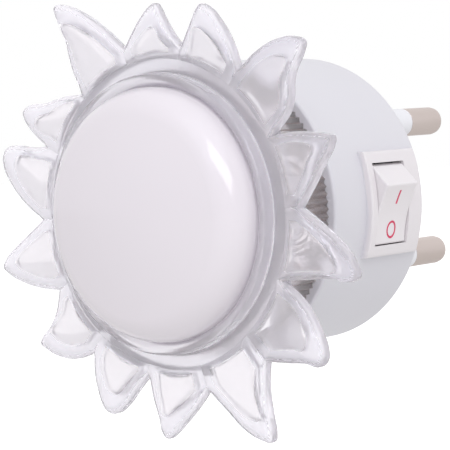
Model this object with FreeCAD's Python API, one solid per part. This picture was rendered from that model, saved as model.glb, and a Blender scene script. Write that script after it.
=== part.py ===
import FreeCAD, Part
import math
import os

# Plug-in night light with a clear sun around an opal dome.
# Millimetres. +Z is up, the dome faces -Y, the plug pins point to +Y and the rocker switch is on +X.
# The origin is the middle of the flat plug face, between the two pins.

Vector = FreeCAD.Vector

# Plug
pin_diameter = 4.0
pin_spacing = 19.0
pin_length = 19.0
sleeve_length = 10.5
sleeve_diameter = 4.0
sleeve_bore = 2.8
sleeve_recess = 0.4
sleeve_recess_clearance = 0.05
root_diameter = 3.5
root_clearance = 0.02
sleeve_inside = 1.5
pin_tail_diameter = 2.4
pin_tail_end = 12.2
pin_flange_radius = 2.8
pin_flange_thickness = 1.2
retainer_thickness = 1.8
retainer_reach = 7.6
retainer_half_width = 2.9
retainer_arm_radius = 2.4
retainer_boss_radius = 2.2
nose_fillet = 0.6
nose_skin = 1.8
nose_pocket_half_width = 4.4
nose_pocket_inset = 3.6
nose_half_width = 6.85
nose_margin = 2.9
nose_depth = 4.6

# White base
body_radius = 19.0
body_length = 31.6
barrel_length = 18.8
wall = 2.0
edge_round = 1.0
rim_round = 0.4
rim_land = 0.9
spigot_length = 3.2
spigot_wall_clearance = 0.05

# Fluted clear sleeve
flute_count = 120
flute_depth = 0.35
sleeve_wall = 2.3
sleeve_stand = 7.5

# Sun and its bezel
bezel_step = 0.5
bezel_width = 1.65
bezel_height = 1.9
root_thickness = 3.0
root_band = 1.8
ray_droop = 0.035
ray_thickness = 1.4
window_border = 1.5
window_skin = 0.6
window_tip = 3.0

# Opal dome
dome_height = 6.4
dome_crown_radius = 50.0
dome_skirt = 0.5
dome_wall = 1.6
lens_flange = 0.85
lens_flange_thickness = 1.1
seat_clearance = 0.05

# Rocker switch
pad_height = 1.0
pad_setback = 6.5
pad_length = 11.9
pad_slope = 1.1
pad_half_height = 6.7
pad_fillet = 0.25
switch_setback = 11.0
rocker_width = 6.6
rocker_side_gap = 0.12
rocker_half_face = 3.95
rocker_face_height = 4.35
rocker_dish = 0.5
rocker_half_skirt = 5.5
rocker_skirt_height = 1.45
rocker_skirt_bottom = 0.6
rocker_tilt = 18.0
pivot_depth = 2.7
pivot_diameter = 2.0
pivot_length = 0.9
pivot_clearance = 0.05
opening_half_height = 5.25
opening_flare = 0.7
collar_wall = 1.4
collar_depth = 4.2
case_depth = 7.9
case_wall = 1.0
ear_drop = 2.8
ear_thickness = 1.2
ear_radius = 1.8
ear_offset = 2.1
stem_diameter = 3.4
stem_length = 2.8
bore_diameter = 2.0
bore_top = 2.2
plunger_diameter = 1.9
plunger_gap = 0.74
plunger_seat = 0.8
lever_drop = 6.14
lever_arm = 3.9
lever_slope = 20.0
lever_tilt = 8.0
lever_thickness = 0.5
lever_width = 2.8
contact_place = 3.3
blade_thickness = 0.6
blade_width = 3.0
blade_tail = 2.0
working_gap = 0.05

# Electronics
board_thickness = 1.5
board_gap = 0.4
boss_ring = 14.0
boss_radius = 2.2
boss_angles = (62, 180, -62)
screw_shaft = 1.6
screw_head = 3.2
screw_head_thickness = 1.2
screw_length = 5.0
short_screw_length = 4.2
screw_hole_spare = 0.3
led_ring = 6.5
led_diameter = 5.0
led_height = 8.6
led_flange = 0.35
led_flange_thickness = 1.0
led_lead_pitch = 2.54
led_lead_diameter = 0.5
led_lead_hole = 0.9
led_lead_clearance = 0.23
can_radius = 4.0
can_clearance = 5.25
can_place = 0.1
box_capacitor_width = 6.0
box_capacitor_clearance = 6.25
box_capacitor_edge = -4.7
box_capacitor_span = (-1.6, 11.0)
resistor_radius = 1.2
resistor_half_length = 3.2
resistor_place = -0.4
resistor_rows = (12.6, 9.2)
wire_diameter = 1.2
wire_turn = 3.5

# Each ray, clockwise from the top left: the reach of its tip, the clock angle of its tip, how far
# the valley before it lies outside the root band, and how far its left side and then its right side
# swell beyond the straight line from valley to tip, at the three shares of that line.
ray_first_valley = -41.0
swell_shares = (0.33, 0.66, 0.9)
rays = [
    (32.4, -34.0, 0.95, (0.3, -0.1, 0.3), (0.9, 1.2, 0.8)),
    (26.3, -1.0, 2.2, (0.4, 0.6, 0.4), (-0.2, -0.1, 0.1)),
    (26.7, 15.0, 1.7, (0.1, 0.2, 0.2), (0.9, 1.1, 0.7)),
    (30.4, 47.5, 2.5, (1.2, 1.5, 0.9), (1.1, 0.1, 0.3)),
    (27.9, 70.7, 0.7, (0.5, 0.5, 0.3), (0.25, 0.35, 0.4)),
    (30.1, 103.7, 2.2, (0.7, 1.1, 0.7), (0.0, 0.15, 0.6)),
    (29.6, 125.8, 0.7, (1.2, 1.3, 0.8), (0.2, 0.3, 0.7)),
    (31.7, 150.9, 4.2, (-0.3, 0.0, 0.3), (0.6, 1.1, 0.6)),
    (28.6, 182.6, 3.3, (0.35, 0.4, 0.3), (0.4, 0.45, 0.6)),
    (28.3, 204.2, 1.5, (0.5, 1.1, 0.9), (0.7, 0.8, 0.5)),
    (29.1, 233.1, 3.2, (1.2, 1.3, 0.6), (-0.7, -0.5, 0.1)),
    (30.7, 255.9, 2.3, (0.7, 0.9, 0.55), (0.3, 0.6, 0.5)),
    (29.8, 285.1, 2.2, (1.2, 1.5, 1.0), (0.2, 0.8, 0.8)),
    (28.0, 298.5, 2.7, (0.45, 0.65, 0.45), (0.4, 0.3, 0.6)),
]

# Worked-out places
pin_heights = {"upper": pin_spacing / 2, "lower": -pin_spacing / 2}
nose_half_height = pin_spacing / 2 + nose_margin
back_radius = nose_half_height + 0.6
inner_radius = body_radius - wall
rim_y = -body_length
shoulder_depth = body_length - barrel_length
pad_front = body_length - pad_setback
pad_back = pad_front - pad_length
switch_centre = body_length - switch_setback
flute_radius = body_radius - rim_land
spigot_radius = flute_radius - 0.6
sleeve_inner = flute_radius - sleeve_wall
ledge_y = rim_y + spigot_length
sun_back_y = rim_y - sleeve_stand
sun_front_y = sun_back_y - root_thickness
bezel_radius = flute_radius - bezel_step
bezel_front_y = sun_front_y - bezel_height
lens_radius = bezel_radius - bezel_width
lens_flange_radius = lens_radius + lens_flange
lens_flange_y = sun_front_y - 0.2
lens_back_y = lens_flange_y + lens_flange_thickness
root_radius = bezel_radius + root_band
sun_reach = max(ray[0] for ray in rays) + 2
sun_fall = (sun_reach - root_radius) * ray_droop
switch_y = -switch_centre
pad_radius = body_radius + pad_height
pivot_x = body_radius - pivot_depth
collar_x = body_radius - collar_depth
case_x = collar_x - case_depth
lever_x = pivot_x - lever_drop
plunger_reach = lever_drop - plunger_gap
slot_half_width = rocker_width / 2 + rocker_side_gap
collar_half_width = slot_half_width + collar_wall
collar_half_height = opening_half_height + opening_flare + case_wall
board_back_y = ledge_y + board_thickness + seat_clearance
board_front_y = ledge_y + seat_clearance
board_radius = inner_radius - board_gap
screw_ear_heights = (-collar_half_height - ear_offset, collar_half_height + ear_offset)
switch_screw_x = collar_x - ear_drop - ear_thickness
retainer_back_y = -nose_depth - wall - pin_flange_thickness
retainer_front_y = retainer_back_y - retainer_thickness
retainer_screw_places = (-retainer_reach, retainer_reach)
can_height = retainer_front_y - board_back_y - can_clearance
box_capacitor_height = retainer_front_y - board_back_y - box_capacitor_clearance
boss_places = [
    (boss_ring * math.cos(math.radians(a)), boss_ring * math.sin(math.radians(a))) for a in boss_angles
]
x_axis = Vector(1, 0, 0)
y_axis = Vector(0, 1, 0)


def rod(radius, y0, y1, x=0.0, z=0.0):
    """A cylinder along Y from y0 to y1."""
    return Part.makeCylinder(radius, y1 - y0, Vector(x, y0, z), y_axis)


def rod_x(radius, x0, x1, y, z):
    """A cylinder along X from x0 to x1."""
    return Part.makeCylinder(radius, x1 - x0, Vector(x0, y, z), x_axis)


def block(x0, x1, y0, y1, z0, z1):
    return Part.makeBox(x1 - x0, y1 - y0, z1 - z0, Vector(x0, y0, z0))


def turned(profile):
    """A solid of revolution about Y from a closed list of (radius, y) corners."""
    points = [Vector(r, y, 0) for r, y in profile]
    face = Part.Face(Part.makePolygon(points + points[:1]))
    return face.revolve(Vector(0, 0, 0), y_axis, 360)


def prism_y(corners, y0, y1):
    """A prism along Y from a closed list of (x, z) corners."""
    points = [Vector(x, y0, z) for x, z in corners]
    face = Part.Face(Part.makePolygon(points + points[:1]))
    return face.extrude(Vector(0, y1 - y0, 0))


def slab_y(half_width, half_height, y0, y1):
    """A slab with half-round top and bottom, standing along Z."""
    straight = half_height - half_width
    middle = block(-half_width, half_width, y0, y1, -straight, straight)
    return middle.fuse([rod(half_width, y0, y1, 0, straight), rod(half_width, y0, y1, 0, -straight)]).removeSplitter()


def clock_point(radius, angle, y=0.0):
    """A point at a clock angle, seen from the front: 0 is up and 90 is +X."""
    a = math.radians(angle)
    return Vector(radius * math.sin(a), y, radius * math.cos(a))


def turn_about_pivot(shape, pivot, degrees):
    moved = shape.copy()
    moved.rotate(Vector(pivot, switch_y, 0), y_axis, degrees)
    return moved


def tube(points, radius):
    """Straight runs joined by tangent arcs, swept by a round section."""
    edges = []
    start = points[0]
    for before, corner, after in zip(points, points[1:], points[2:]):
        run_in = (corner - before).normalize()
        run_out = (after - corner).normalize()
        turn = math.acos(max(-1.0, min(1.0, run_in.dot(run_out))))
        shorter = min((corner - before).Length, (after - corner).Length)
        bend = 0.45 * shorter / math.tan(turn / 2)
        setback = 0.45 * shorter
        arc_start = corner - run_in * setback
        arc_end = corner + run_out * setback
        inward = (run_out - run_in).normalize()
        middle = corner + inward * (bend / math.cos(turn / 2) - bend)
        edges.append(Part.LineSegment(start, arc_start).toShape())
        edges.append(Part.Arc(arc_start, middle, arc_end).toShape())
        start = arc_end
    edges.append(Part.LineSegment(start, points[-1]).toShape())
    path = Part.Wire(edges)
    direction = (points[1] - points[0]).normalize()
    section = Part.Wire([Part.Circle(points[0], direction, radius).toShape()])
    return path.makePipeShell([section], True, True)


def pan_screw(x, y, z, direction, length):
    """A pan-head screw whose head seats at the given point and whose shank runs along direction."""
    seat = Vector(x, y, z)
    head = Part.makeCylinder(screw_head / 2, screw_head_thickness, seat, direction * -1)
    shank = Part.makeCylinder(screw_shaft / 2, length, seat, direction)
    top = seat - direction * screw_head_thickness
    slot = Part.makeBox(0.5, screw_head * 1.2, 0.5, Vector(-0.25, -screw_head * 0.6, -0.5))
    slot.Placement = FreeCAD.Placement(top, FreeCAD.Rotation(Vector(0, 0, 1), direction * -1))
    return head.fuse(shank).removeSplitter().cut(slot)


def rear_housing():
    """The white base: a cylinder that tapers to an oval plug nose, with the raised switch pad."""
    outer = turned([
        (0, rim_y), (body_radius, rim_y), (body_radius, -shoulder_depth),
        (back_radius, -nose_depth), (0, -nose_depth),
    ])
    shoulder = [e for e in outer.Edges if is_ring(e, body_radius, -shoulder_depth)]
    outer = outer.makeFillet(edge_round, shoulder)
    rim = [e for e in outer.Edges if is_ring(e, body_radius, rim_y)]
    outer = outer.makeFillet(rim_round, rim)
    nose = slab_y(nose_half_width, nose_half_height, -nose_depth - wall / 2, 0)
    nose = nose.makeFillet(nose_fillet, [e for e in nose.Edges if lies_at_y(e, 0)])
    outer = outer.fuse(nose)
    pad = turned([
        (body_radius - wall, -pad_front), (pad_radius, -pad_front), (pad_radius, -pad_back - pad_slope),
        (body_radius, -pad_back), (body_radius - wall, -pad_back),
    ]).common(block(0, pad_radius + 1, -pad_front, -pad_back, -pad_half_height, pad_half_height))
    pad = pad.makeFillet(pad_fillet, [e for e in pad.Edges if on_pad_brow(e)])
    outer = outer.fuse(pad)

    cavity = turned([
        (0, rim_y), (spigot_radius + spigot_wall_clearance, rim_y),
        (spigot_radius + spigot_wall_clearance, ledge_y), (inner_radius, ledge_y),
        (inner_radius, -shoulder_depth - 0.6), (back_radius - wall * 0.3, -nose_depth - wall),
        (0, -nose_depth - wall),
    ])
    collar = block(
        collar_x, body_radius - 0.5, switch_y - collar_half_width, switch_y + collar_half_width,
        -collar_half_height, collar_half_height,
    )
    bosses = [rod(boss_radius, board_back_y, -nose_depth, x, z) for x, z in boss_places]
    bosses += [rod(retainer_boss_radius, retainer_back_y, -nose_depth, x, 0) for x in retainer_screw_places]
    bosses += [rod_x(ear_radius, switch_screw_x + ear_thickness, body_radius - 0.5, switch_y, z) for z in screw_ear_heights]
    inside = outer.common(collar.fuse(bosses))
    body = outer.cut(cavity).fuse(inside)

    pocket_half_height = pin_spacing / 2 - nose_pocket_inset
    nose_pocket = block(
        -nose_pocket_half_width, nose_pocket_half_width, -nose_depth - wall - 0.01, -nose_skin,
        -pocket_half_height, pocket_half_height,
    )
    half_in = opening_half_height + opening_flare
    opening = prism_y([
        (pad_radius + 1, -opening_half_height), (body_radius + 0.2, -opening_half_height),
        (pivot_x - 0.4, -half_in), (collar_x - 0.01, -half_in),
        (collar_x - 0.01, half_in), (pivot_x - 0.4, half_in),
        (body_radius + 0.2, opening_half_height), (pad_radius + 1, opening_half_height),
    ], switch_y - slot_half_width, switch_y + slot_half_width)
    cuts = [nose_pocket, opening]
    seat = pivot_diameter / 2 + pivot_clearance
    reach = slot_half_width + pivot_length
    cuts.append(Part.makeCylinder(seat, 2 * reach, Vector(pivot_x, switch_y - reach, 0), y_axis))
    cuts.append(block(collar_x - 0.01, pivot_x, switch_y - reach, switch_y + reach, -seat, seat))
    for z in pin_heights.values():
        cuts.append(rod(root_diameter / 2 + root_clearance, -nose_depth - wall - 0.01, 1, 0, z))
        cuts.append(rod(sleeve_diameter / 2 + sleeve_recess_clearance, -sleeve_recess, 1, 0, z))
    hole = screw_shaft / 2 + 0.02
    spare = screw_hole_spare
    for x, z in boss_places:
        cuts.append(rod(hole, board_back_y - 0.01, board_front_y + screw_length + spare, x, z))
    for x in retainer_screw_places:
        cuts.append(rod(hole, retainer_front_y, retainer_front_y + short_screw_length + spare, x, 0))
    for z in screw_ear_heights:
        cuts.append(rod_x(hole, switch_screw_x, switch_screw_x + short_screw_length + spare, switch_y, z))
    return body.cut(cuts).removeSplitter()


def is_ring(edge, radius, y):
    curve = edge.Curve
    if not isinstance(curve, Part.Circle):
        return False
    return abs(curve.Radius - radius) < 0.01 and abs(curve.Center.y - y) < 0.01


def lies_at_y(edge, y):
    box = edge.BoundBox
    return abs(box.YMin - y) < 0.01 and abs(box.YMax - y) < 0.01


def on_pad_brow(edge):
    """The outer front edge and the two outer side edges of the pad."""
    box = edge.BoundBox
    outside = box.XMin > pad_radius - 1.6 and math.hypot(box.XMin, box.ZMax) > pad_radius - 0.1
    front = abs(box.YMin + pad_front) < 0.01 and abs(box.YMax + pad_front) < 0.01
    side = abs(abs(box.ZMin) - pad_half_height) < 0.01 and abs(box.ZMax - box.ZMin) < 0.01
    along = abs(box.YMin + pad_front) < 0.01 and abs(box.YMax + pad_back + pad_slope) < 0.01
    return outside and (front or (side and along))


def fluted_sleeve():
    """The clear wall between the base and the sun, with flutes along its length."""
    corners = []
    for i in range(flute_count):
        step = 360.0 / flute_count
        corners.append(clock_point(flute_radius, i * step, rim_y))
        corners.append(clock_point(flute_radius - flute_depth, (i + 0.5) * step, rim_y))
    face = Part.Face(Part.makePolygon(corners + corners[:1]))
    stand = face.extrude(Vector(0, sun_back_y - rim_y, 0))
    rear = rod(spigot_radius, rim_y, ledge_y)
    front = rod(lens_flange_radius, lens_back_y, sun_back_y)
    bore = rod(sleeve_inner, sun_front_y - 1, ledge_y + 1)
    return stand.fuse([rear, front]).cut(bore).removeSplitter()


def ray_feet(index):
    """Where a ray's two sides start, as (radius, clock angle) on the left and on the right."""
    pitch = 360.0 / len(rays)
    left = (root_radius + rays[index][2], ray_first_valley + index * pitch)
    right = (root_radius + rays[(index + 1) % len(rays)][2], ray_first_valley + (index + 1) * pitch)
    return left, right


def ray_side(foot, tip, swells, sign):
    """The points along one side of a ray, from its foot to just before its tip."""
    chord = tip - foot
    out = Vector(-chord.z, 0, chord.x).normalize() * sign
    return [foot] + [foot + chord * share + out * swell for share, swell in zip(swell_shares, swells)]


def ray_edges(left, tip, right):
    """Two curved sides joined by a rounded tip."""
    left_curve = Part.BSplineCurve()
    left_curve.interpolate(left)
    right_curve = Part.BSplineCurve()
    right_curve.interpolate(right[::-1])
    return [left_curve.toShape(), Part.Arc(left[-1], tip, right[-1]).toShape(), right_curve.toShape()]


def ray_outline(index, y):
    """The edges of one ray from the valley on its left to the valley on its right."""
    reach, clock, valley, left, right = rays[index]
    tip = clock_point(reach, clock, y)
    left_foot, right_foot = ray_feet(index)
    left_side = ray_side(clock_point(*left_foot, y), tip, left, 1)
    right_side = ray_side(clock_point(*right_foot, y), tip, right, -1)
    return ray_edges(left_side, tip, right_side)


def sun_cover():
    """The clear moulding with fourteen rays and the bezel that holds the dome."""
    edges = []
    for index in range(len(rays)):
        edges += ray_outline(index, sun_front_y)
    plate = Part.Face(Part.Wire(edges)).extrude(Vector(0, root_thickness + sun_fall, 0))
    back = sun_front_y + ray_thickness
    dish = turned([
        (0, sun_back_y), (root_radius, sun_back_y), (root_radius + 0.6, back), (sun_reach, back + sun_fall),
        (sun_reach, sun_front_y + sun_fall), (root_radius, sun_front_y), (0, sun_front_y),
    ])
    hollow = turned([
        (root_radius, sun_front_y + window_skin), (sun_reach, sun_front_y + window_skin + sun_fall),
        (sun_reach, sun_back_y + 5), (root_radius, sun_back_y + 5),
    ])
    plate = plate.common(dish).cut([ray_window(index).common(hollow) for index in range(len(rays))])
    lip = lens_radius + seat_clearance
    bezel = turned([
        (lip, sun_front_y), (bezel_radius, sun_front_y), (bezel_radius, bezel_front_y + 0.4),
        (bezel_radius - 0.4, bezel_front_y), (lip, bezel_front_y + 0.9),
    ])
    bore = rod(lens_flange_radius + seat_clearance, lens_flange_y, sun_back_y + 1)
    hole = rod(lip, bezel_front_y - 1, sun_back_y + 1)
    return plate.fuse(bezel).cut([bore, hole]).removeSplitter()


def ray_window(index):
    """A prism inside one ray's border, for the hollow in the back of the ray."""
    y = sun_front_y
    reach, clock, valley, left, right = rays[index]
    (left_radius, left_clock), (right_radius, right_clock) = ray_feet(index)
    base = root_radius + 0.8
    lean = math.degrees(window_border / base)
    tip = clock_point(reach - window_tip, clock, y)
    sides = []
    for radius, angle, swells, sign in ((left_radius, left_clock, left, 1), (right_radius, right_clock, right, -1)):
        foot = clock_point(base, angle + sign * lean, y)
        knee = clock_point(max(radius - 0.4, base + 0.5), angle + sign * lean, y)
        chord = tip - knee
        out = Vector(-chord.z, 0, chord.x).normalize() * sign
        sides.append([foot, knee, knee + chord * 0.5 + out * swells[1] * 0.7, knee + chord * 0.92 + out * 0.3])
    edges = ray_edges(sides[0], tip, sides[1])
    middle = clock_point(base, (left_clock + right_clock) / 2, y)
    edges.append(Part.Arc(sides[1][0], middle, sides[0][0]).toShape())
    face = Part.Face(Part.Wire(edges))
    return face.extrude(Vector(0, root_thickness + sun_fall, 0))


def opal_lens():
    """The milky dome with a flange that the bezel holds down."""
    flange_y = lens_flange_y
    skirt_y = lens_flange_y - 0.8 - dome_skirt
    crown_y = lens_flange_y - 0.8 - dome_height

    def skin(radius, crown_radius, top_y):
        centre_y = top_y + crown_radius
        gap = centre_y - skirt_y
        shoulder = (crown_radius ** 2 - gap ** 2 - radius ** 2) / (2 * (crown_radius - radius))
        hub = Vector(radius - shoulder, skirt_y, 0)
        crown_hub = Vector(0, centre_y, 0)
        reach = (hub - crown_hub).normalize()
        meet = crown_hub + reach * crown_radius
        half = math.atan2(reach.x, -reach.y) / 2
        crown_mid = crown_hub + Vector(math.sin(half), -math.cos(half), 0) * crown_radius
        lean = (math.pi / 2 + 2 * half) / 2
        shoulder_mid = hub + Vector(math.sin(lean), -math.cos(lean), 0) * shoulder
        return [
            Part.Arc(Vector(0, top_y, 0), crown_mid, meet).toShape(),
            Part.Arc(meet, shoulder_mid, Vector(radius, skirt_y, 0)).toShape(),
        ]

    inner = lens_radius - dome_wall
    edges = skin(lens_radius, dome_crown_radius, crown_y)
    corners = [
        Vector(lens_radius, skirt_y, 0), Vector(lens_radius, flange_y, 0),
        Vector(lens_flange_radius, flange_y, 0), Vector(lens_flange_radius, lens_back_y, 0),
        Vector(inner, lens_back_y, 0), Vector(inner, skirt_y, 0),
    ]
    for a, b in zip(corners, corners[1:]):
        edges.append(Part.LineSegment(a, b).toShape())
    edges += skin(inner, dome_crown_radius - dome_wall, crown_y + dome_wall)
    edges.append(Part.LineSegment(Vector(0, crown_y, 0), Vector(0, crown_y + dome_wall, 0)).toShape())
    face = Part.Face(Part.Wire(Part.__sortEdges__(edges)))
    return face.revolve(Vector(0, 0, 0), y_axis, 360)


def circuit_board():
    board = rod(board_radius, board_front_y, board_back_y)
    cuts = [rod(screw_shaft / 2 + 0.15, board_front_y - 1, board_back_y + 1, x, z) for x, z in boss_places]
    for x, z in led_lead_places():
        cuts.append(rod(led_lead_hole / 2, board_front_y - 1, board_back_y + 1, x, z))
    return board.cut(cuts)


def led_centres():
    return [clock_point(led_ring, a) for a in (0, 120, 240)]


def led_lead_places():
    places = []
    for centre in led_centres():
        places += [(centre.x + side * led_lead_pitch / 2, centre.z) for side in (-1, 1)]
    return places


def led(index):
    """A clear round emitter that stands on the board, with its two leads."""
    centre = led_centres()[index]
    radius = led_diameter / 2
    top_y = board_front_y - led_height
    barrel = rod(radius, top_y + radius, board_front_y, centre.x, centre.z)
    cap = Part.makeSphere(radius, Vector(centre.x, top_y + radius, centre.z))
    flange = rod(radius + led_flange, board_front_y - led_flange_thickness, board_front_y, centre.x, centre.z)
    body = barrel.fuse([cap, flange]).removeSplitter()
    lead_end = switch_y - collar_half_width - led_lead_clearance
    leads = []
    for side in (-1, 1):
        leads.append(rod(led_lead_diameter / 2, board_front_y, lead_end, centre.x + side * led_lead_pitch / 2, centre.z))
    return Part.makeCompound([body] + leads)


def box_capacitor():
    """The dropper capacitor, a moulded box on the back of the board."""
    left = box_capacitor_edge - box_capacitor_width
    back = board_back_y + box_capacitor_height
    body = block(left, box_capacitor_edge, board_back_y, back, *box_capacitor_span)
    return body.makeFillet(0.5, [e for e in body.Edges if abs(e.Length - box_capacitor_height) < 0.01])


def can_capacitor():
    """The smoothing capacitor, a can that stands on the back of the board."""
    can = rod(can_radius, board_back_y, board_back_y + can_height, can_place, 0)
    return can.makeFillet(0.4, [e for e in can.Edges if lies_at_y(e, board_back_y + can_height)])


def bridge_rectifier():
    body = block(-5.0, 3.0, board_back_y, board_back_y + 2.5, -12.2, -8.2)
    return body.makeChamfer(0.4, [e for e in body.Edges if lies_at_y(e, board_back_y + 2.5)])


def resistor(x, z):
    """An axial resistor that lies on the back of the board, along X."""
    y = board_back_y + resistor_radius
    barrel = rod_x(resistor_radius, x - resistor_half_length, x + resistor_half_length, y, z)
    return barrel.makeFillet(0.5, [e for e in barrel.Edges if e.Length > 7 and e.BoundBox.XLength < 0.01])


def plug_pin(height):
    """A plug pin with a rounded tip, a waist under its sleeve, a seat flange and a wire tail."""
    radius = pin_diameter / 2
    bare = rod(radius, sleeve_length, pin_length, 0, height)
    bare = bare.makeFillet(radius * 0.85, [e for e in bare.Edges if lies_at_y(e, pin_length)])
    waist = rod(sleeve_bore / 2, -sleeve_inside, sleeve_length, 0, height)
    root = rod(root_diameter / 2, -nose_depth - wall, -sleeve_inside, 0, height)
    seat_y = -nose_depth - wall
    flange = rod(pin_flange_radius, seat_y - pin_flange_thickness, seat_y, 0, height)
    tail = rod(pin_tail_diameter / 2, -pin_tail_end, seat_y, 0, height)
    return bare.fuse([waist, root, flange, tail]).removeSplitter()


def root_sleeve(height):
    """The insulating sleeve on the root of a pin."""
    outside = rod(sleeve_diameter / 2, 0, sleeve_length, 0, height)
    inside = rod(root_diameter / 2, -sleeve_inside, 0, 0, height)
    bore = rod(sleeve_bore / 2, -sleeve_inside - 1, sleeve_length + 1, 0, height)
    return outside.fuse(inside).cut(bore).removeSplitter()


def pin_retainer():
    """The plate that holds both pin flanges against the back wall."""
    front = retainer_front_y
    back = retainer_back_y
    left, right = retainer_screw_places
    tall = slab_y(retainer_half_width, nose_half_height, front, back)
    across = block(left, right, front, back, -retainer_arm_radius, retainer_arm_radius)
    across = across.fuse([rod(retainer_arm_radius, front, back, x, 0) for x in (left, right)])
    cuts = [rod(pin_tail_diameter / 2 + 0.1, front - 1, back + 1, 0, z) for z in pin_heights.values()]
    cuts += [rod(screw_shaft / 2 + 0.15, front - 1, back + 1, x, 0) for x in (left, right)]
    return tall.fuse(across).cut(cuts).removeSplitter()


def retainer_screws():
    screws = [pan_screw(x, retainer_front_y, 0, y_axis, short_screw_length) for x in retainer_screw_places]
    return Part.makeCompound(screws)


def board_screws():
    return Part.makeCompound([pan_screw(x, board_front_y, z, y_axis, screw_length) for x, z in boss_places])


def switch_case():
    """The box behind the rocker that carries the contacts, screwed to the base from inside."""
    y0 = switch_y - collar_half_width
    y1 = switch_y + collar_half_width
    half = collar_half_height
    case = block(case_x, collar_x, y0, y1, -half, half)
    ear_x = switch_screw_x + ear_thickness
    for z in screw_ear_heights:
        ear = block(switch_screw_x, ear_x, switch_y - ear_radius, switch_y + ear_radius, min(z, 0), max(z, 0))
        case = case.fuse([ear, rod_x(ear_radius, switch_screw_x, ear_x, switch_y, z)])
    hollow = block(case_x + case_wall, collar_x + 1, y0 + case_wall, y1 - case_wall, case_wall - half, half - case_wall)
    case = case.cut(hollow)
    saddle_top = pivot_x - pivot_diameter / 2 - pivot_clearance
    for side in (-1, 1):
        outer = switch_y + side * (slot_half_width + pivot_length - 0.05)
        inner = switch_y + side * (slot_half_width + 0.05)
        low, high = min(outer, inner), max(outer, inner)
        case = case.fuse(block(collar_x - 1.0, saddle_top, low, high, -0.95, 0.95))
    cuts = []
    for z in (0, -contact_place - 0.1):
        cuts.append(block(
            case_x - 1, case_x + case_wall + 1, switch_y - blade_width / 2 - 0.03, switch_y + blade_width / 2 + 0.03,
            z - blade_thickness / 2 - 0.03, z + blade_thickness / 2 + 0.03,
        ))
    for z in screw_ear_heights:
        cuts.append(rod_x(screw_shaft / 2 + 0.15, switch_screw_x - 1, ear_x + 1, switch_y, z))
    return case.cut(cuts).removeSplitter()


def switch_screws():
    screws = [pan_screw(switch_screw_x, switch_y, z, x_axis, short_screw_length) for z in screw_ear_heights]
    return Part.makeCompound(screws)


def rocker_upright():
    """The rocker in its middle position."""
    half = rocker_half_face
    top = rocker_face_height
    skirt = rocker_half_skirt
    y0 = switch_y - rocker_width / 2

    def at(z, h):
        return Vector(pivot_x + h, y0, z)

    corners = [
        at(half, top), at(skirt, rocker_skirt_height), at(skirt, rocker_skirt_bottom), at(2.0, -1.0),
        at(-2.0, -1.0), at(-skirt, rocker_skirt_bottom), at(-skirt, rocker_skirt_height), at(-half, top),
    ]
    edges = [Part.LineSegment(a, b).toShape() for a, b in zip(corners, corners[1:])]
    edges.append(Part.Arc(at(-half, top), at(0, top - rocker_dish), at(half, top)).toShape())
    face = Part.Face(Part.Wire(edges))
    body = face.extrude(Vector(0, rocker_width, 0))
    brow = [e for e in body.Edges if e.BoundBox.XMin > pivot_x + rocker_skirt_height - 0.01]
    body = body.makeFillet(0.2, brow)
    body = body.fuse([
        rod_x(stem_diameter / 2, pivot_x - stem_length, pivot_x, switch_y, 0),
        rod(pivot_diameter / 2, y0 - pivot_length, y0 + rocker_width + pivot_length, pivot_x, 0),
    ])
    bore = rod_x(bore_diameter / 2, pivot_x - stem_length - 1, pivot_x + bore_top, switch_y, 0)
    return body.cut(bore).removeSplitter()


def rocker():
    return turn_about_pivot(rocker_upright(), pivot_x, rocker_tilt)


def switch_plunger():
    """The round-nosed plunger in the rocker's stem."""
    radius = plunger_diameter / 2
    tip = pivot_x - plunger_reach
    shaft = rod_x(radius, tip + radius, pivot_x - plunger_seat, switch_y, 0)
    nose = Part.makeSphere(radius, Vector(tip + radius, switch_y, 0))
    return turn_about_pivot(shaft.fuse(nose).removeSplitter(), pivot_x, rocker_tilt)


def plunger_spring():
    """A coil spring between the plunger and the top of the rocker's bore."""
    wire = 0.25
    coil_radius = 0.7
    length = bore_top + plunger_seat - wire
    coils = 6
    helix = Part.makeHelix(length / coils, length, coil_radius)
    section = Part.Wire([Part.Circle(Vector(coil_radius, 0, 0), Vector(0, 1, 0), wire / 2).toShape()])
    spring = Part.Wire(helix.Edges).makePipeShell([section], True, True)
    start = Vector(pivot_x - plunger_seat + wire / 2, switch_y, 0)
    spring.Placement = FreeCAD.Placement(start, FreeCAD.Rotation(Vector(0, 0, 1), x_axis))
    return turn_about_pivot(spring, pivot_x, rocker_tilt)


def contact_lever():
    """The see-saw contact that the plunger tips."""
    rise = lever_arm * math.tan(math.radians(lever_slope))
    thick = lever_thickness / math.cos(math.radians(lever_slope))
    lever = prism_y([
        (lever_x, 0), (lever_x + rise, lever_arm), (lever_x + rise + thick, lever_arm),
        (lever_x + thick, 0), (lever_x + rise + thick, -lever_arm), (lever_x + rise, -lever_arm),
    ], switch_y - lever_width / 2, switch_y + lever_width / 2)
    return turn_about_pivot(lever, lever_x, -lever_tilt)


def blade(z, top_x):
    return block(
        case_x - blade_tail, top_x, switch_y - blade_width / 2, switch_y + blade_width / 2,
        z - blade_thickness / 2, z + blade_thickness / 2,
    )


def terminal_common():
    """The blade whose edge the see-saw contact rocks on."""
    post = blade(0, lever_x - working_gap)
    return post.makeChamfer(0.2, [e for e in post.Edges if e.BoundBox.XMin > lever_x - 0.2 and e.BoundBox.YLength > 1])


def terminal_load():
    """The fixed contact that the see-saw closes on."""
    slope = math.radians(lever_slope - lever_tilt)
    radius = 0.8
    z = -contact_place - 0.1
    under = lever_x + contact_place * math.tan(slope)
    centre_x = under - (radius + working_gap) / math.cos(slope)
    post = blade(z, centre_x)
    head = Part.makeCylinder(radius, lever_width, Vector(centre_x, switch_y - lever_width / 2, z), y_axis)
    return post.fuse(head).removeSplitter()


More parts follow.
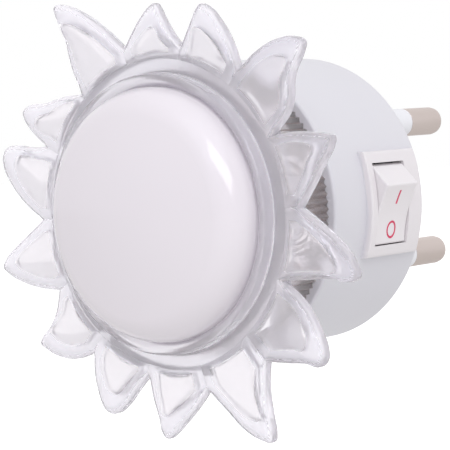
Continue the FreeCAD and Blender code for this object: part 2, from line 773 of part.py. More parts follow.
def wires():
    """The three insulated leads inside the base."""
    tail_y = -pin_tail_end
    tab_x = case_x - blade_tail + 0.7
    tab_y = switch_y + blade_width / 2
    high = pin_heights["upper"]
    low = pin_heights["lower"]
    load_z = -contact_place - 0.1
    live = [
        Vector(0, tail_y, high), Vector(0, tail_y - 3.0, high), Vector(tab_x, tab_y + wire_turn, high - 4.5),
        Vector(tab_x, tab_y + wire_turn, 0), Vector(tab_x, tab_y, 0),
    ]
    switched = [
        Vector(tab_x, tab_y, load_z), Vector(tab_x, tab_y + 2.6, load_z), Vector(tab_x, tab_y + 2.6, load_z - 4.9),
        Vector(tab_x, board_back_y, load_z - 4.9),
    ]
    neutral = [
        Vector(0, tail_y, low), Vector(0, tail_y - 3.4, low), Vector(-7.6, tail_y - 6.5, low),
        Vector(-7.6, board_back_y, low),
    ]
    radius = wire_diameter / 2
    return {"wire_live": tube(live, radius), "wire_switched": tube(switched, radius), "wire_neutral": tube(neutral, radius)}


def all_nodes():
    nodes = {
        "rear_housing": rear_housing(),
        "fluted_sleeve": fluted_sleeve(),
        "sun_cover": sun_cover(),
        "opal_lens": opal_lens(),
        "circuit_board": circuit_board(),
        "box_capacitor": box_capacitor(),
        "can_capacitor": can_capacitor(),
        "bridge_rectifier": bridge_rectifier(),
        "dropper_resistor": resistor(resistor_place, resistor_rows[0]),
        "bleed_resistor": resistor(resistor_place, resistor_rows[1]),
        "pin_retainer": pin_retainer(),
        "retainer_screws": retainer_screws(),
        "board_screws": board_screws(),
        "switch_case": switch_case(),
        "switch_screws": switch_screws(),
        "rocker": rocker(),
        "switch_plunger": switch_plunger(),
        "plunger_spring": plunger_spring(),
        "contact_lever": contact_lever(),
        "terminal_common": terminal_common(),
        "terminal_load": terminal_load(),
    }
    for index in range(3):
        nodes["led_%d" % (index + 1)] = led(index)
    for side, height in pin_heights.items():
        nodes["plug_pin_" + side] = plug_pin(height)
        nodes["root_sleeve_" + side] = root_sleeve(height)
    nodes.update(wires())
    return nodes


os.makedirs("parts", exist_ok=True)
for name, shape in all_nodes().items():
    shape.exportStep("parts/" + name + ".step")
    print(name, "solids", len(shape.Solids), "valid", shape.isValid(), "volume %.2f" % shape.Volume)
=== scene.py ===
import math
import bmesh
import bpy
from mathutils import Matrix, Vector


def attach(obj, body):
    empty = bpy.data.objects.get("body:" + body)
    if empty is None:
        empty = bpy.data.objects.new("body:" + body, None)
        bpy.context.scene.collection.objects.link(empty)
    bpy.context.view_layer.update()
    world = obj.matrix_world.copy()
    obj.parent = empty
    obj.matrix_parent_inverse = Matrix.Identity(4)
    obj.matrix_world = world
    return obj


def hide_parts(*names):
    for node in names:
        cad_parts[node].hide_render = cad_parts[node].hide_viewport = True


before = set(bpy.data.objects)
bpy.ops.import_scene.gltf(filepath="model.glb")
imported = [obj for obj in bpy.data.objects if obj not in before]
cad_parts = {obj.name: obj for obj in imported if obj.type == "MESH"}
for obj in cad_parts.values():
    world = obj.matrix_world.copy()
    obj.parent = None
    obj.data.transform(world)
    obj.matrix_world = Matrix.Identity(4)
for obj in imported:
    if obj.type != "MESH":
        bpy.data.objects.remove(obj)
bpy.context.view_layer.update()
print("frame loaded with", len(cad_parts), "nodes")

# Lengths are millimetres until a piece is finished. The dome faces -Y, the pins point to +Y, +Z is up.
millimetre = 0.001
turnAxis = (0.0, 1.0, 0.0)
pinHeight = 9.5
switchY = -20.6
pivotX = 16.3


def clockPoint(radius, clock, y=0.0):
    # a clock angle as seen from the front: 0 is up and 90 is +X
    turn = math.radians(clock)
    return Vector((radius * math.sin(turn), y, radius * math.cos(turn)))


def sheetFromRows(bm, rows, closed=False, milk=None):
    # lays a grid over rows of points that all have the same count; milk gives each row its cloudiness
    lines = [list(row) + [row[0]] if closed else list(row) for row in rows]
    grid = bmesh.ops.create_grid(bm, x_segments=len(lines[0]) - 1, y_segments=len(lines) - 1, size=1.0)
    for vert, point in zip(grid["verts"], [point for line in lines for point in line]):
        vert.co = point
    if milk:
        layer = bm.verts.layers.float["milk"]
        for place, vert in enumerate(grid["verts"]):
            vert[layer] = milk[place // len(lines[0])]


def profileWire(bm, corners, closed=True):
    # corners are (radius, y, rounding), drawn in the XY plane
    verts = [bm.verts.new((radius, y, 0.0)) for radius, y, rounding in corners]
    loop = verts + verts[:1] if closed else verts
    for a, b in zip(loop, loop[1:]):
        bm.edges.new((a, b))
    for vert, corner in zip(verts, corners):
        if corner[2]:
            bmesh.ops.bevel(
                bm, geom=[vert], offset=corner[2], offset_type="OFFSET", affect="VERTICES",
                segments=4, profile=0.5, material=-1,
            )


def arcOn(bm, vert, centre, degrees, steps):
    # carries a profile on by an arc and gives its last point
    out = bmesh.ops.spin(
        bm, geom=[vert], cent=centre, axis=(0.0, 0.0, 1.0), angle=math.radians(degrees), steps=steps,
    )
    return next(item for item in out["geom_last"] if isinstance(item, bmesh.types.BMVert))


def spinWire(bm, steps, clock=90.0):
    # turns everything in bm about the light's axis, starting at that clock angle
    start = Matrix.Rotation(math.radians(clock - 90), 3, "Y")
    bmesh.ops.rotate(bm, verts=bm.verts, cent=(0, 0, 0), matrix=start)
    bmesh.ops.spin(
        bm, geom=bm.verts[:] + bm.edges[:], cent=(0, 0, 0), axis=turnAxis, angle=math.tau,
        steps=steps, use_merge=True,
    )


def turnedPiece(corners, steps, closed=True):
    bm = bmesh.new()
    profileWire(bm, corners, closed)
    spinWire(bm, steps)
    tidyMesh(bm)
    return bm


def tidyMesh(bm):
    bmesh.ops.remove_doubles(bm, verts=bm.verts, dist=0.0008)
    bmesh.ops.recalc_face_normals(bm, faces=bm.faces)


def blockMesh(low, high):
    bm = bmesh.new()
    bmesh.ops.create_cube(bm, size=1.0)
    size = Vector(high) - Vector(low)
    bmesh.ops.scale(bm, vec=size, verts=bm.verts)
    bmesh.ops.translate(bm, vec=(Vector(high) + Vector(low)) / 2, verts=bm.verts)
    return bm


def rodMesh(radius, y0, y1, x=0.0, z=0.0, segments=64):
    bm = bmesh.new()
    bmesh.ops.create_cone(
        bm, cap_ends=True, segments=segments, radius1=radius, radius2=radius, depth=y1 - y0,
        matrix=Matrix.Translation((x, (y0 + y1) / 2, z)) @ Matrix.Rotation(math.pi / 2, 4, "X"),
    )
    return bm


def prismMesh(corners, y0, y1):
    # a prism along Y from closed (x, z) corners
    bm = bmesh.new()
    face = bm.faces.new([bm.verts.new((x, y0, z)) for x, z in corners])
    out = bmesh.ops.extrude_face_region(bm, geom=[face])
    moved = [item for item in out["geom"] if isinstance(item, bmesh.types.BMVert)]
    bmesh.ops.translate(bm, vec=(0, y1 - y0, 0), verts=moved)
    bmesh.ops.recalc_face_normals(bm, faces=bm.faces)
    return bm


def meshObject(name, bm):
    mesh = bpy.data.meshes.new(name)
    bm.to_mesh(mesh)
    bm.free()
    thing = bpy.data.objects.new(name, mesh)
    bpy.context.scene.collection.objects.link(thing)
    return thing


def combine(shape, *steps):
    # shape is a mesh, and each step is ("UNION" or "DIFFERENCE", another mesh)
    for operation, tool in steps:
        target, other = meshObject("combineShape", shape), meshObject("combineTool", tool)
        cut = target.modifiers.new(operation, "BOOLEAN")
        cut.operation = operation
        cut.solver = "EXACT"
        cut.object = other
        bpy.context.view_layer.update()
        shown = target.evaluated_get(bpy.context.evaluated_depsgraph_get())
        mesh = bpy.data.meshes.new_from_object(shown)
        shape = bmesh.new()
        shape.from_mesh(mesh)
        bpy.data.objects.remove(target)
        bpy.data.objects.remove(other)
    return shape


def finishPiece(name, bm, finish, body, nodes=(), sharp=32.0):
    # smooth shading except over sharp edges, then metres
    openEdges = sum(len(edge.link_faces) != 2 for edge in bm.edges)
    print(name, "faces", len(bm.faces), "open edges", openEdges)
    for face in bm.faces:
        face.smooth = True
    for edge in bm.edges:
        edge.smooth = edge.calc_face_angle(0.0) < math.radians(sharp)
    bmesh.ops.scale(bm, vec=(millimetre,) * 3, verts=bm.verts)
    piece = meshObject(name, bm)
    piece.data.materials.append(materials[finish])
    weighted = piece.modifiers.new("evenNormals", "WEIGHTED_NORMAL")
    weighted.keep_sharp = True
    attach(piece, body)
    if nodes:
        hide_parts(*nodes)
    return piece


# materials


def grainGroup():
    # broad patches and fine grain, in object coordinates
    group = bpy.data.node_groups.new("mouldGrain", "ShaderNodeTree")
    for label, value in (("Patch Scale", 60.0), ("Grain Scale", 2500.0), ("Stretch", 1.0)):
        socket = group.interface.new_socket(label, in_out="INPUT", socket_type="NodeSocketFloat")
        socket.default_value = value
    for label in ("Patches", "Grain"):
        group.interface.new_socket(label, in_out="OUTPUT", socket_type="NodeSocketFloat")
    nodes, links = group.nodes, group.links
    given = nodes.new("NodeGroupInput")
    result = nodes.new("NodeGroupOutput")
    place = nodes.new("ShaderNodeTexCoord")
    spread = nodes.new("ShaderNodeCombineXYZ")
    spread.inputs["X"].default_value = 1.0
    spread.inputs["Z"].default_value = 1.0
    scaled = nodes.new("ShaderNodeVectorMath")
    scaled.operation = "MULTIPLY"
    links.new(given.outputs["Stretch"], spread.inputs["Y"])
    links.new(place.outputs["Object"], scaled.inputs[0])
    links.new(spread.outputs["Vector"], scaled.inputs[1])
    for label, detail in (("Patch", 2.0), ("Grain", 3.0)):
        noise = nodes.new("ShaderNodeTexNoise")
        noise.inputs["Detail"].default_value = detail
        links.new(scaled.outputs["Vector"], noise.inputs["Vector"])
        links.new(given.outputs[label + " Scale"], noise.inputs["Scale"])
        links.new(noise.outputs["Fac"], result.inputs["Patches" if label == "Patch" else "Grain"])
    return group


grain = grainGroup()


def cloudyBand(nodes, links, shader, colour, roughness, cloudy):
    # the thick rims and the root of the sun are cloudier than its windows
    milk = nodes.new("ShaderNodeAttribute")
    milk.attribute_name = "milk"
    tint = nodes.new("ShaderNodeMix")
    tint.data_type = "RGBA"
    tint.inputs["B"].default_value = (*cloudy["colour"], 1.0)
    links.new(milk.outputs["Fac"], tint.inputs["Factor"])
    links.new(colour, tint.inputs["A"])
    links.new(tint.outputs["Result"], shader.inputs["Base Color"])
    haze = nodes.new("ShaderNodeMix")
    haze.inputs["B"].default_value = cloudy["roughness"]
    links.new(milk.outputs["Fac"], haze.inputs["Factor"])
    links.new(roughness, haze.inputs["A"])
    links.new(haze.outputs["Result"], shader.inputs["Roughness"])


def finishMaterial(name, look):
    material = bpy.data.materials.new(name)
    material.use_nodes = True
    nodes, links = material.node_tree.nodes, material.node_tree.links
    shader = nodes["Principled BSDF"]
    source = nodes.new("ShaderNodeGroup")
    source.node_tree = grain
    source.inputs["Patch Scale"].default_value = look.get("patchScale", 60.0)
    source.inputs["Grain Scale"].default_value = look.get("grainScale", 2500.0)
    source.inputs["Stretch"].default_value = look.get("stretch", 1.0)
    ramp = nodes.new("ShaderNodeValToRGB")
    ramp.color_ramp.elements[0].position = 0.3
    ramp.color_ramp.elements[1].position = 0.7
    ramp.color_ramp.elements[0].color = (*look["colour"], 1.0)
    ramp.color_ramp.elements[1].color = (*look.get("second", look["colour"]), 1.0)
    links.new(source.outputs["Patches"], ramp.inputs["Fac"])
    links.new(ramp.outputs["Color"], shader.inputs["Base Color"])
    rough = nodes.new("ShaderNodeMapRange")
    rough.inputs["To Min"].default_value, rough.inputs["To Max"].default_value = look["roughness"]
    links.new(source.outputs["Patches"], rough.inputs["Value"])
    links.new(rough.outputs["Result"], shader.inputs["Roughness"])
    if "cloudy" in look:
        cloudyBand(nodes, links, shader, ramp.outputs["Color"], rough.outputs["Result"], look["cloudy"])
    bump = nodes.new("ShaderNodeBump")
    bump.inputs["Strength"].default_value = look.get("bump", 0.1)
    bump.inputs["Distance"].default_value = look.get("bumpDepth", 0.0001)
    links.new(source.outputs["Patches" if look.get("wavy") else "Grain"], bump.inputs["Height"])
    links.new(bump.outputs["Normal"], shader.inputs["Normal"])
    for socket, value in look.get("fixed", {}).items():
        shader.inputs[socket].default_value = value
    return material


looks = {
    "whitePlastic": {
        "colour": (0.675, 0.665, 0.705), "second": (0.70, 0.69, 0.725), "roughness": (0.34, 0.42),
        "patchScale": 45.0, "grainScale": 3200.0, "bump": 0.12, "bumpDepth": 0.00004,
        "cloudy": {"colour": (0.77, 0.735, 0.75), "roughness": 0.34},
    },
    "rockerPlastic": {
        "colour": (0.78, 0.745, 0.76), "second": (0.80, 0.765, 0.78), "roughness": (0.3, 0.38),
        "patchScale": 120.0, "grainScale": 3200.0, "bump": 0.1, "bumpDepth": 0.00003,
    },
    "clearPlastic": {
        "colour": (0.945, 0.915, 0.945), "second": (0.955, 0.93, 0.96), "roughness": (0.01, 0.02),
        "patchScale": 190.0, "bump": 0.15, "bumpDepth": 0.001, "wavy": True,
        "cloudy": {"colour": (0.95, 0.93, 0.975), "roughness": 0.3},
        "fixed": {"Transmission Weight": 0.7, "IOR": 1.47},
    },
    "fluteClear": {
        "colour": (0.965, 0.92, 0.925), "second": (0.975, 0.93, 0.935), "roughness": (0.02, 0.05),
        "patchScale": 120.0, "bump": 0.1, "bumpDepth": 0.0008, "wavy": True,
        "fixed": {"Transmission Weight": 0.84, "IOR": 1.47},
    },
    "opalPlastic": {
        "colour": (0.79, 0.745, 0.785), "second": (0.805, 0.76, 0.80), "roughness": (0.10, 0.14),
        "patchScale": 30.0, "grainScale": 900.0, "bump": 0.02, "bumpDepth": 0.0001,
        "fixed": {"IOR": 1.5, "Coat Weight": 0.35, "Coat Roughness": 0.05},
    },
    "pinMetal": {
        "colour": (0.62, 0.54, 0.50), "second": (0.72, 0.64, 0.60), "roughness": (0.42, 0.52),
        "patchScale": 260.0, "grainScale": 3500.0, "stretch": 0.12, "bump": 0.1, "bumpDepth": 0.00003,
        "fixed": {"Metallic": 1.0},
    },
    "sleevePlastic": {
        "colour": (0.80, 0.80, 0.83), "second": (0.84, 0.84, 0.87), "roughness": (0.3, 0.4),
        "patchScale": 150.0, "grainScale": 3000.0, "bump": 0.08, "bumpDepth": 0.00003,
    },
    "markInk": {
        "colour": (0.60, 0.03, 0.10), "second": (0.68, 0.05, 0.13), "roughness": (0.35, 0.5),
        "patchScale": 900.0, "grainScale": 6000.0, "bump": 0.15, "bumpDepth": 0.00002,
    },
    "boardLaminate": {
        "colour": (0.36, 0.22, 0.18), "second": (0.42, 0.27, 0.22), "roughness": (0.45, 0.6),
        "patchScale": 140.0, "grainScale": 2600.0, "stretch": 0.4, "bump": 0.15, "bumpDepth": 0.00005,
    },
    "emitterResin": {
        "colour": (0.92, 0.90, 0.84), "second": (0.95, 0.93, 0.88), "roughness": (0.05, 0.1),
        "bump": 0.05, "fixed": {"Transmission Weight": 0.75, "IOR": 1.5},
    },
    "capacitorFilm": {
        "colour": (0.50, 0.035, 0.03), "second": (0.58, 0.05, 0.04), "roughness": (0.25, 0.35),
        "patchScale": 200.0, "bump": 0.08,
    },
    "capacitorCan": {
        "colour": (0.02, 0.02, 0.035), "second": (0.04, 0.04, 0.06), "roughness": (0.25, 0.38),
        "patchScale": 220.0, "bump": 0.06,
    },
    "rectifierResin": {
        "colour": (0.018, 0.018, 0.018), "second": (0.035, 0.035, 0.035), "roughness": (0.5, 0.65),
        "patchScale": 300.0, "bump": 0.25,
    },
    "resistorPaint": {
        "colour": (0.42, 0.28, 0.14), "second": (0.48, 0.34, 0.19), "roughness": (0.3, 0.45),
        "patchScale": 320.0, "bump": 0.1,
    },
    "casePlastic": {
        "colour": (0.028, 0.028, 0.03), "second": (0.045, 0.045, 0.05), "roughness": (0.45, 0.6),
        "patchScale": 150.0, "bump": 0.2,
    },
    "retainerPlastic": {
        "colour": (0.62, 0.62, 0.64), "second": (0.67, 0.67, 0.69), "roughness": (0.4, 0.5),
        "patchScale": 150.0, "bump": 0.12,
    },
    "screwSteel": {
        "colour": (0.46, 0.46, 0.46), "second": (0.58, 0.58, 0.57), "roughness": (0.25, 0.4),
        "patchScale": 400.0, "bump": 0.1, "fixed": {"Metallic": 1.0},
    },
    "springSteel": {
        "colour": (0.42, 0.42, 0.44), "second": (0.52, 0.52, 0.54), "roughness": (0.22, 0.32),
        "patchScale": 500.0, "bump": 0.05, "fixed": {"Metallic": 1.0},
    },
    "contactBrass": {
        "colour": (0.62, 0.42, 0.16), "second": (0.74, 0.52, 0.22), "roughness": (0.22, 0.35),
        "patchScale": 350.0, "bump": 0.06, "fixed": {"Metallic": 1.0},
    },
    "wireBrown": {
        "colour": (0.085, 0.03, 0.015), "second": (0.11, 0.045, 0.022), "roughness": (0.35, 0.45),
        "patchScale": 300.0, "bump": 0.08,
    },
    "wireBlue": {
        "colour": (0.02, 0.06, 0.32), "second": (0.03, 0.085, 0.38), "roughness": (0.35, 0.45),
        "patchScale": 300.0, "bump": 0.08,
    },
}
materials = {name: finishMaterial(name, look) for name, look in looks.items()}

nodeFinish = {
    "boardLaminate": ["circuit_board"],
    "emitterResin": ["led_1", "led_2", "led_3"],
    "capacitorFilm": ["box_capacitor"],
    "capacitorCan": ["can_capacitor"],
    "rectifierResin": ["bridge_rectifier"],
    "resistorPaint": ["dropper_resistor", "bleed_resistor"],
    "casePlastic": ["switch_case"],
    "retainerPlastic": ["pin_retainer", "switch_plunger"],
    "screwSteel": ["retainer_screws", "board_screws", "switch_screws"],
    "springSteel": ["plunger_spring"],
    "contactBrass": ["contact_lever", "terminal_common", "terminal_load"],
    "wireBrown": ["wire_live", "wire_switched"],
    "wireBlue": ["wire_neutral"],
}
for finish, names in nodeFinish.items():
    for node in names:
        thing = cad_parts[node]
        thing.data.materials.clear()
        thing.data.materials.append(materials[finish])
print("materials ready:", len(materials))


# the clear sun

sun = {
    "steps": 12,  # along each ray's base
    "curveSteps": 6,
    "rootRadius": 19.4,
    "frontY": -42.1,
    "backY": -39.1,
    "stepRadius": 20.0,
    "rayThickness": 1.4,
    "droop": 0.035,
    "firstValley": -41.0,
    "edgeRound": 0.42,
    "valleyPull": 1.3,
    "pillow": 0.38,
    "windowBase": 20.2,
    "windowLean": 4.25,
    "windowTip": 3.0,
    "windowSkin": 0.6,
    "lensBulge": 0.45,
    # across the front from rim to window, then on to the middle: share of the way, rise, milk
    "frontBand": ((0.0, 0.0, 1), (0.12, 0.34, 1), (0.4, 0.6, 1), (0.75, 0.78, 1), (0.97, 0.84, 1)),
    "frontMiddle": (
        (0.02, 0.85, 0), (0.12, 0.9, 0), (0.3, 0.95, 0), (0.55, 0.98, 0), (0.8, 1.0, 0), (1.0, 1.0, 0),
    ),
    "backBand": (0.0, 0.4, 0.75, 0.93),
    "backMiddle": (0.07, 0.16, 0.3, 0.48, 0.66, 0.84, 1.0),
    "windowWall": 0.03,
    "windowLip": 0.14,
    "windowFoot": 0.16,
    "bezelMilk": 0.5,
    "bezelEdge": 17.7,
    "shares": (0.33, 0.66, 0.9),
    # reach, clock of the tip, valley beyond the root, swells of the left and of the right side
    "rays": (
        (32.4, -34.0, 0.95, (0.3, -0.1, 0.3), (0.9, 1.2, 0.8)),
        (26.3, -1.0, 2.2, (0.4, 0.6, 0.4), (-0.2, -0.1, 0.1)),
        (26.7, 15.0, 1.7, (0.1, 0.2, 0.2), (0.9, 1.1, 0.7)),
        (30.4, 47.5, 2.5, (1.2, 1.5, 0.9), (1.1, 0.1, 0.3)),
        (27.9, 70.7, 0.7, (0.5, 0.5, 0.3), (0.25, 0.35, 0.4)),
        (30.1, 103.7, 2.2, (0.7, 1.1, 0.7), (0.0, 0.15, 0.6)),
        (29.6, 125.8, 0.7, (1.2, 1.3, 0.8), (0.2, 0.3, 0.7)),
        (31.7, 150.9, 4.2, (-0.3, 0.0, 0.3), (0.6, 1.1, 0.6)),
        (28.6, 182.6, 3.3, (0.35, 0.4, 0.3), (0.4, 0.45, 0.6)),
        (28.3, 204.2, 1.5, (0.5, 1.1, 0.9), (0.7, 0.8, 0.5)),
        (29.1, 233.1, 3.2, (1.2, 1.3, 0.6), (-0.7, -0.5, 0.1)),
        (30.7, 255.9, 2.3, (0.7, 0.9, 0.55), (0.3, 0.6, 0.5)),
        (29.8, 285.1, 2.2, (1.2, 1.5, 1.0), (0.2, 0.8, 0.8)),
        (28.0, 298.5, 2.7, (0.45, 0.65, 0.45), (0.4, 0.3, 0.6)),
    ),
    # radius, y, rounding, from the root band over the bezel and down its bore
    "ring": (
        (19.4, -42.1, 0.0), (17.6, -42.1, 0.25), (17.6, -44.0, 0.45),
        (16.75, -43.75, 0.2), (16.0, -43.1, 0.15), (16.0, -42.3, 0.0),
        (16.85, -42.3, 0.1), (16.85, -39.1, 0.1), (19.4, -39.1, 0.0),
    ),
}


def smoothCurve(points, steps):
    # an even curve through the points
    data = bpy.data.curves.new("outline", "CURVE")
    data.dimensions = "3D"
    data.resolution_u = steps
    spline = data.splines.new("BEZIER")
    spline.bezier_points.add(len(points) - 1)
    for knot, point in zip(spline.bezier_points, points):
        knot.co = point
        knot.handle_left_type = knot.handle_right_type = "AUTO"
    thing = bpy.data.objects.new("outline", data)
    bpy.context.scene.collection.objects.link(thing)
    bpy.context.view_layer.update()
    mesh = bpy.data.meshes.new_from_object(thing.evaluated_get(bpy.context.evaluated_depsgraph_get()))
    path = [vert.co.copy() for vert in mesh.vertices]
    bpy.data.objects.remove(thing)
    return path


def raySide(foot, tip, swells, sign, strength):
    chord = tip - foot
    out = Vector((-chord.z, 0.0, chord.x)).normalized() * sign * strength
    return [foot] + [foot + chord * share + out * swell for share, swell in zip(sun["shares"], swells)]


def rayFrame(index):
    # the valleys on both sides, as (radius, clock)
    pitch = 360.0 / len(sun["rays"])
    feet = []
    for step in (0, 1):
        valley = sun["rays"][(index + step) % len(sun["rays"])][2]
        feet.append((sun["rootRadius"] + valley, sun["firstValley"] + (index + step) * pitch))
    return feet


def baseLine(left, right, baseRadius, leftClock, rightClock):
    # from the right foot down to the base, along it, and up to the left foot
    steps = sun["steps"]
    path = []
    for share in range(steps + 1):
        path.append(clockPoint(baseRadius, rightClock + (leftClock - rightClock) * share / steps))
    return [(right + path[0]) / 2] + path + [(left + path[-1]) / 2]


def rayLoops(index):
    # the ray's outline, the way its edge rounds outward, its window and its middle line
    reach, clock, valley, leftSwells, rightSwells = sun["rays"][index]
    feet = rayFrame(index)
    tip = clockPoint(reach, clock)
    left = raySide(clockPoint(*feet[0]), tip, leftSwells, 1, 1.0)
    right = raySide(clockPoint(*feet[1]), tip, rightSwells, -1, 1.0)
    side = smoothCurve(left + [tip] + right[::-1], sun["curveSteps"])
    count = len(side)

    outward = []
    for place, point in enumerate(side):
        if place in (0, count - 1):
            # at the valleys the edge rounds straight out from the middle
            outward.append(point.normalized() * sun["valleyPull"])
            continue
        along = (side[place + 1] - side[place - 1]).normalized()
        outward.append(Vector((-along.z, 0.0, along.x)))
    inner = [point - out * sun["edgeRound"] for point, out in zip(side, outward)]
    inner += baseLine(inner[0], inner[-1], sun["rootRadius"], feet[0][1], feet[1][1])

    lean = sun["windowLean"]
    knees = []
    for (radius, angle), sign in zip(feet, (1, -1)):
        knees.append(clockPoint(max(radius - 0.4, sun["windowBase"] + 0.5), angle + sign * lean))
    windowTip = clockPoint(reach - sun["windowTip"], clock)
    leftWindow = raySide(knees[0], windowTip, leftSwells, 1, 0.75)
    rightWindow = raySide(knees[1], windowTip, rightSwells, -1, 0.75)
    window = smoothCurve(leftWindow + [windowTip] + rightWindow[::-1], sun["curveSteps"])
    window += baseLine(window[0], window[-1], sun["windowBase"], feet[0][1] + lean, feet[1][1] - lean)

    middle = [(window[place] + window[count - 1 - place]) / 2 for place in range(count)]
    start = (window[0] + window[count - 1]) / 2
    middle += [start] * (len(window) - count)
    return side, outward, inner, window, middle


def blendLoops(first, second, share):
    return [a.lerp(b, share) for a, b in zip(first, second)]


def atDepth(points, depth):
    # depth says how far back each point lies
    return [Vector((p.x, depth(math.hypot(p.x, p.z)), p.z)) for p in points]


def frontDepth(radius):
    return sun["frontY"] + max(0.0, radius - sun["rootRadius"]) * sun["droop"]


def backDepth(radius):
    thin = sun["frontY"] + sun["rayThickness"]
    step = (radius - sun["rootRadius"]) / (sun["stepRadius"] - sun["rootRadius"])
    share = min(1.0, max(0.0, step))
    return sun["backY"] + (thin - sun["backY"]) * share + max(0.0, radius - sun["stepRadius"]) * sun["droop"]


def rayFront(bm, inner, window, middle):
    rows, milk = [], []
    for table, outer, inside in ((sun["frontBand"], inner, window), (sun["frontMiddle"], window, middle)):
        for share, rise, cloud in table:
            lift = sun["pillow"] * rise
            rows.append(atDepth(blendLoops(outer, inside, share), lambda r: frontDepth(r) - lift))
            milk.append(cloud)
    sheetFromRows(bm, rows, closed=True, milk=milk)


def rayBack(bm, inner, window, middle):
    # the rim's back, the step down into the window, and the window's bulge
    skin = sun["windowSkin"]
    rows = [atDepth(blendLoops(inner, window, share), backDepth) for share in sun["backBand"]]
    rows.append(atDepth(window, lambda r: backDepth(r) - sun["windowLip"]))
    foot = skin + sun["windowFoot"]
    rows.append(atDepth(blendLoops(window, middle, sun["windowWall"]), lambda r: frontDepth(r) + foot))
    milk = [1] * len(sun["backBand"]) + [0.6, 0]
    for share in sun["backMiddle"]:
        rise = skin + sun["lensBulge"] * (1 - (1 - share) ** 2)
        rows.append(atDepth(blendLoops(window, middle, share), lambda r: frontDepth(r) + rise))
        milk.append(0)
    sheetFromRows(bm, rows, closed=True, milk=milk)


def rayRim(bm, side, outward):
    # the outer edge, rounded from the front face to the back face
    rows = []
    for depth, sign, angles in ((frontDepth, 1, (0, 22, 45, 67, 90)), (backDepth, -1, (90, 60, 30, 0))):
        for angle in angles:
            turn = math.radians(angle)
            pull = sun["edgeRound"] * (1 - math.sin(turn))
            drop = sign * sun["edgeRound"] * (1 - math.cos(turn))
            line = [point - out * pull for point, out in zip(side, outward)]
            rows.append(atDepth(line, lambda r: depth(r) + drop))
    sheetFromRows(bm, rows, milk=[0.5] * len(rows))


def makeSun():
    bm = bmesh.new()
    layer = bm.verts.layers.float.new("milk")
    profileWire(bm, sun["ring"], closed=False)
    spinWire(bm, sun["steps"] * len(sun["rays"]), sun["firstValley"])
    for vert in bm.verts:
        vert[layer] = 1.0 if math.hypot(vert.co.x, vert.co.z) > sun["bezelEdge"] else sun["bezelMilk"]
    for index in range(len(sun["rays"])):
        side, outward, inner, window, middle = rayLoops(index)
        rayFront(bm, inner, window, middle)
        rayBack(bm, inner, window, middle)
        rayRim(bm, side, outward)
    tidyMesh(bm)
    return finishPiece("sun_clear", bm, "clearPlastic", "light", ("sun_cover",), 28.0)


makeSun()
print("sun ready")


# the fluted sleeve

fluted = {
    "flutes": 120,
    "perFlute": 4,
    "depth": 0.38,
    # y, radius, share of the flute depth
    "stations": (
        (-28.44, 15.8, 0.0), (-28.44, 17.4, 0.0), (-28.54, 17.5, 0.0), (-31.5, 17.5, 0.0),
        (-31.63, 17.6, 0.0), (-31.63, 17.95, 0.8), (-31.75, 18.1, 1.0), (-35.3, 18.1, 1.0),
        (-38.95, 18.1, 1.0), (-39.06, 17.95, 0.8), (-39.06, 16.9, 0.0), (-39.12, 16.8, 0.0),
        (-41.1, 16.8, 0.0), (-41.18, 16.7, 0.0), (-41.18, 15.8, 0.0), (-28.44, 15.8, 0.0),
    ),
}


def makeSleeve():
    bm = bmesh.new()
    count = fluted["flutes"] * fluted["perFlute"]
    rows = []
    for y, radius, share in fluted["stations"]:
        row = []
        for place in range(count):
            wave = 0.5 - 0.5 * math.cos(math.tau * place / fluted["perFlute"])
            row.append(clockPoint(radius - fluted["depth"] * share * wave, 360.0 * place / count, y))
        rows.append(row)
    sheetFromRows(bm, rows, closed=True)
    tidyMesh(bm)
    return finishPiece("sleeve_clear", bm, "fluteClear", "light", ("fluted_sleeve",), 50.0)


makeSleeve()
print("sleeve ready")


# the opal dome

dome = {
    "crownY": -49.5,
    "crownRadius": 50.0,
    "wall": 1.6,
    "radius": 15.95,
    "skirtY": -43.6,
    "flangeRadius": 16.8,
    "flangeY": -42.25,
    "backY": -41.2,
    "arcSteps": 14,
    "steps": 128,
}


def domeSkin(bm, radius, crownRadius, crownY):
    # the crown arc and the tighter shoulder arc that meets the skirt
    centreY = crownY + crownRadius
    gap = centreY - dome["skirtY"]
    shoulder = (crownRadius ** 2 - gap ** 2 - radius ** 2) / (2 * (crownRadius - radius))
    hubX = radius - shoulder
    crownTurn = math.degrees(math.atan2(hubX, gap))
    top = bm.verts.new((0.0, crownY, 0.0))
    meet = arcOn(bm, top, (0.0, centreY, 0.0), crownTurn, dome["arcSteps"])
    last = arcOn(bm, meet, (hubX, dome["skirtY"], 0.0), 90.0 - crownTurn, dome["arcSteps"])
    return top, last


def makeDome():
    bm = bmesh.new()
    outerTop, outerEnd = domeSkin(bm, dome["radius"], dome["crownRadius"], dome["crownY"])
    wall = dome["wall"]
    inner = dome["radius"] - wall
    innerTop, innerEnd = domeSkin(bm, inner, dome["crownRadius"] - wall, dome["crownY"] + wall)
    corners = [
        (dome["radius"], dome["flangeY"]), (dome["flangeRadius"], dome["flangeY"]),
        (dome["flangeRadius"], dome["backY"]), (inner, dome["backY"]),
    ]
    path = [outerEnd] + [bm.verts.new((x, y, 0.0)) for x, y in corners] + [innerEnd]
    for a, b in zip(path, path[1:]):
        bm.edges.new((a, b))
    spinWire(bm, dome["steps"])
    tidyMesh(bm)
    return finishPiece("dome_opal", bm, "opalPlastic", "light", ("opal_lens",), 50.0)


makeDome()
print("dome ready")


# the white base

